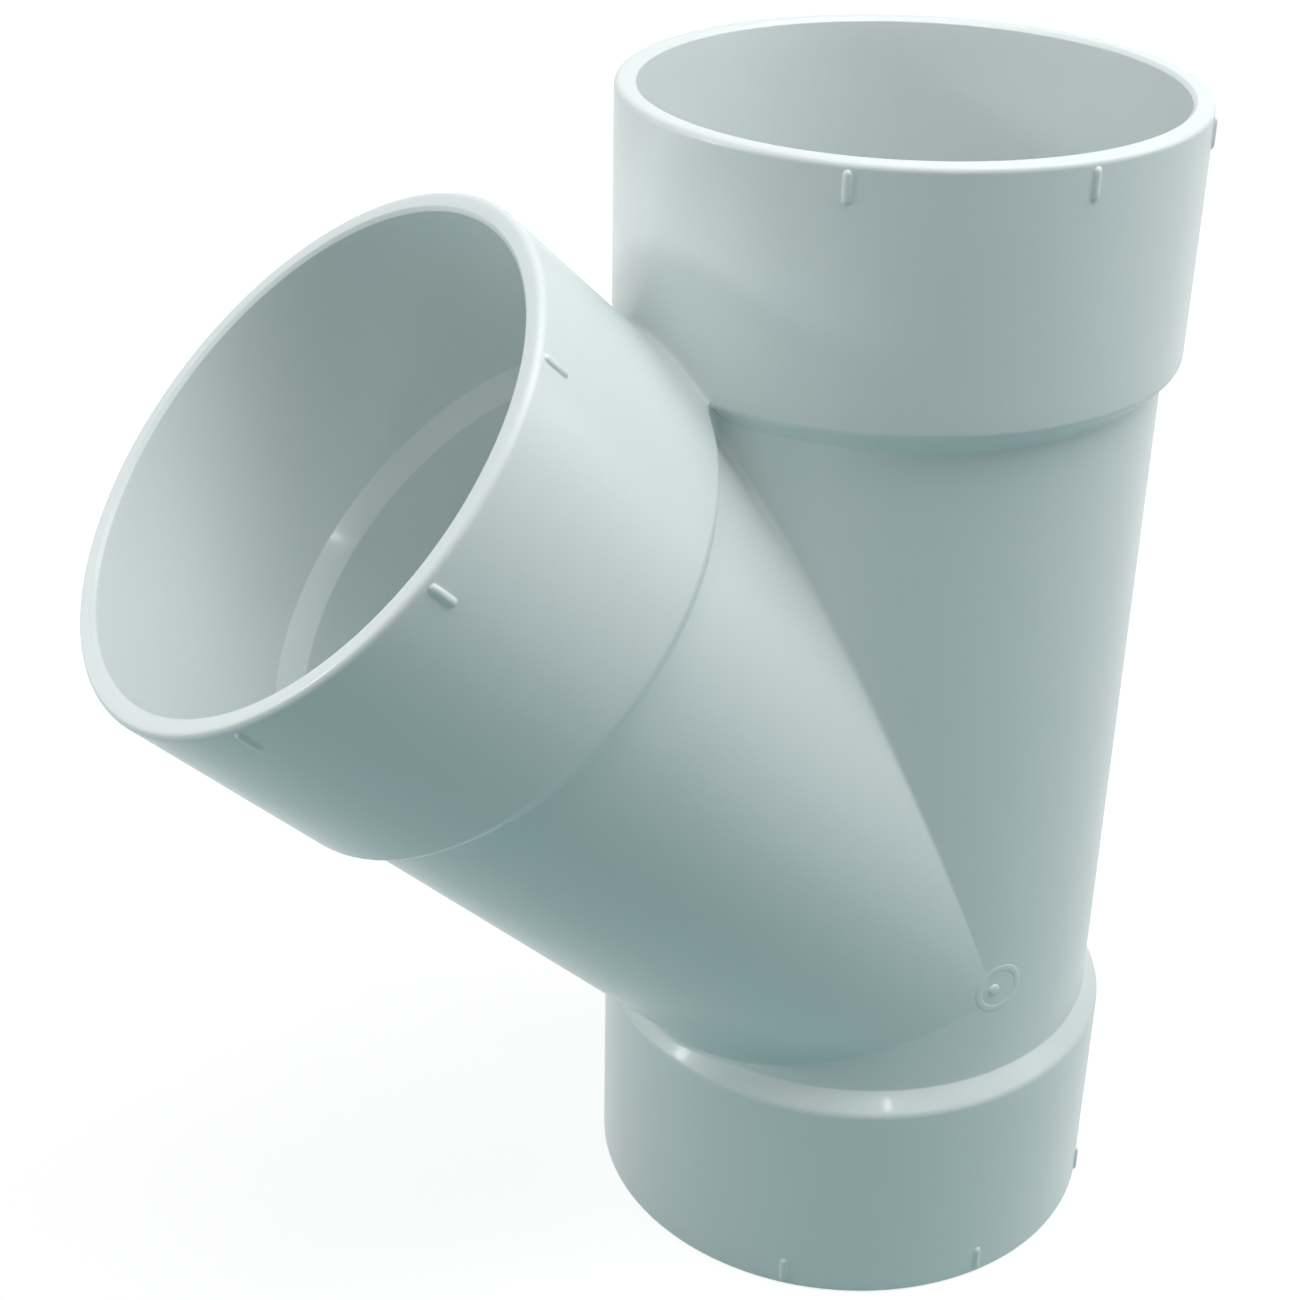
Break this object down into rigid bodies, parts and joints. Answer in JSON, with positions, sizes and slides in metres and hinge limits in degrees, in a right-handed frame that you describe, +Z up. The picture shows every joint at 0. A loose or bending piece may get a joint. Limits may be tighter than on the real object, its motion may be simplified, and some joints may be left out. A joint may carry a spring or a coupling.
{
  "type": "lateral wye fitting",
  "caption": "White plastic 45-degree wye pipe fitting with a straight run, a side branch and a solvent-weld socket on each end.",
  "frame": {"origin": "centre of the outlet rim, the lower end of the run, on the face it stands on", "axes": "+Z up along the run to the upper socket, the branch leans from the run towards -X, +Y completes the right-handed set"},
  "size_m": [0.2286, 0.118, 0.2598],
  "materials": {
    "wye_body": "semi-gloss white moulded PVC"
  },
  "bodies": {
    "root": {"wye_body": "wye_body"}
  },
  "joints": []
}
